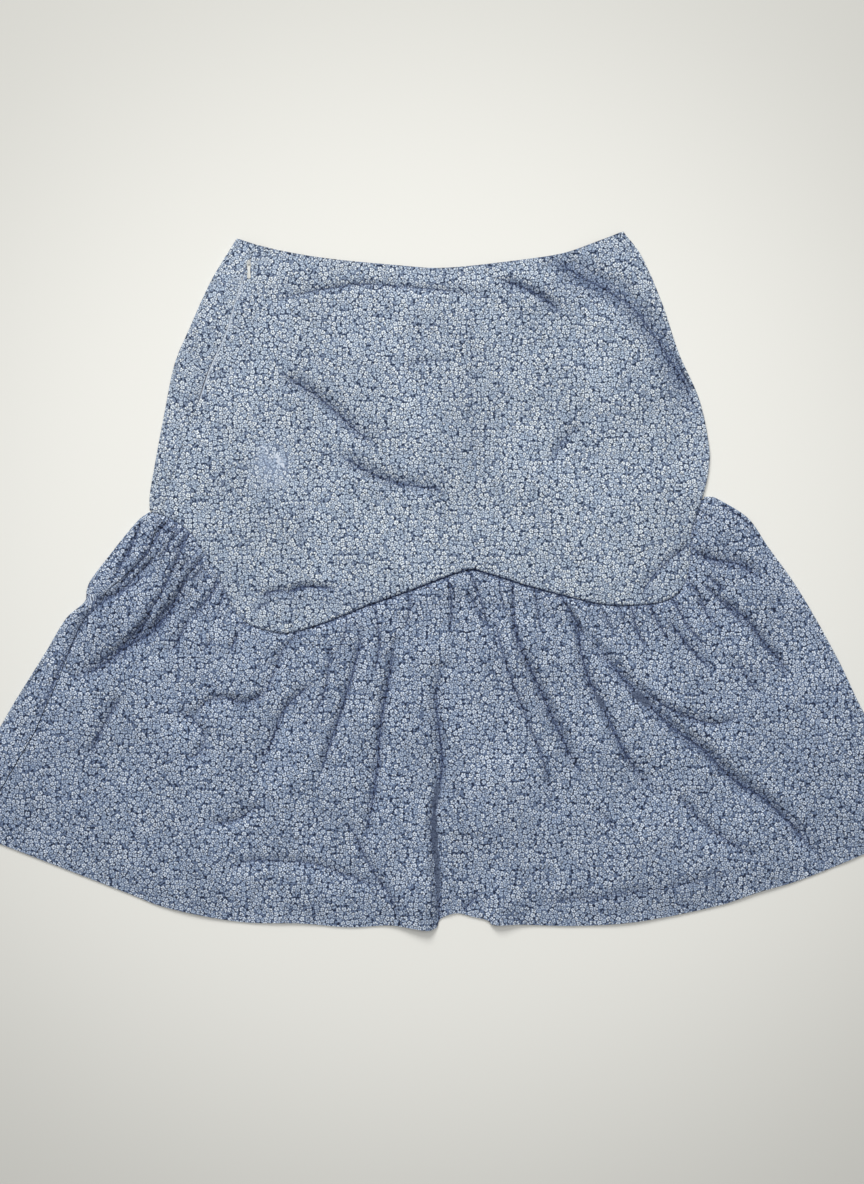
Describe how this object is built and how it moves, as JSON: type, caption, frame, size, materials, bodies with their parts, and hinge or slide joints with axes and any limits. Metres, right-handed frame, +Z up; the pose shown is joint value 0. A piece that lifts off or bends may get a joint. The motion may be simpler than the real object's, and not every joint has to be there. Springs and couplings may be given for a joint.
{
  "type": "midi skirt",
  "caption": "Midi skirt laid flat: fitted hip yoke with a scalloped lower edge, gathered flounce and a concealed side zip with a hinged pull tab.",
  "frame": {"origin": "on the surface that the skirt lies on, under the middle of its overall length and width", "axes": "+X across the skirt, to the right in the picture; +Y along the skirt, towards the waist; +Z up, out of the front"},
  "size_m": [0.974, 0.6982, 0.0089],
  "materials": {
    "yoke_cloth": "printed cotton, matte, tiny pale flowers on grey blue",
    "flounce_cloth": "the same printed cotton, a little darker and bluer",
    "zip_tape": "woven polyester tape, matte",
    "slider_metal": "lacquered die-cast slider",
    "pull_lacquer": "cream lacquered die-cast tab"
  },
  "bodies": {
    "skirt": {"yoke_front": "yoke_cloth", "yoke_back": "yoke_cloth", "flounce_front": "flounce_cloth", "flounce_back": "flounce_cloth", "zip_tape": "zip_tape", "zip_slider": "slider_metal"},
    "pull_tab": {"zip_pull": "pull_lacquer"}
  },
  "joints": [
    {"name": "pull_hinge", "type": "hinge", "parent": "skirt", "child": "pull_tab", "pos_m": [-0.18198, 0.31796, 0.0062], "axis": [-1, 0, 0], "range_deg": [0, 170]}
  ]
}
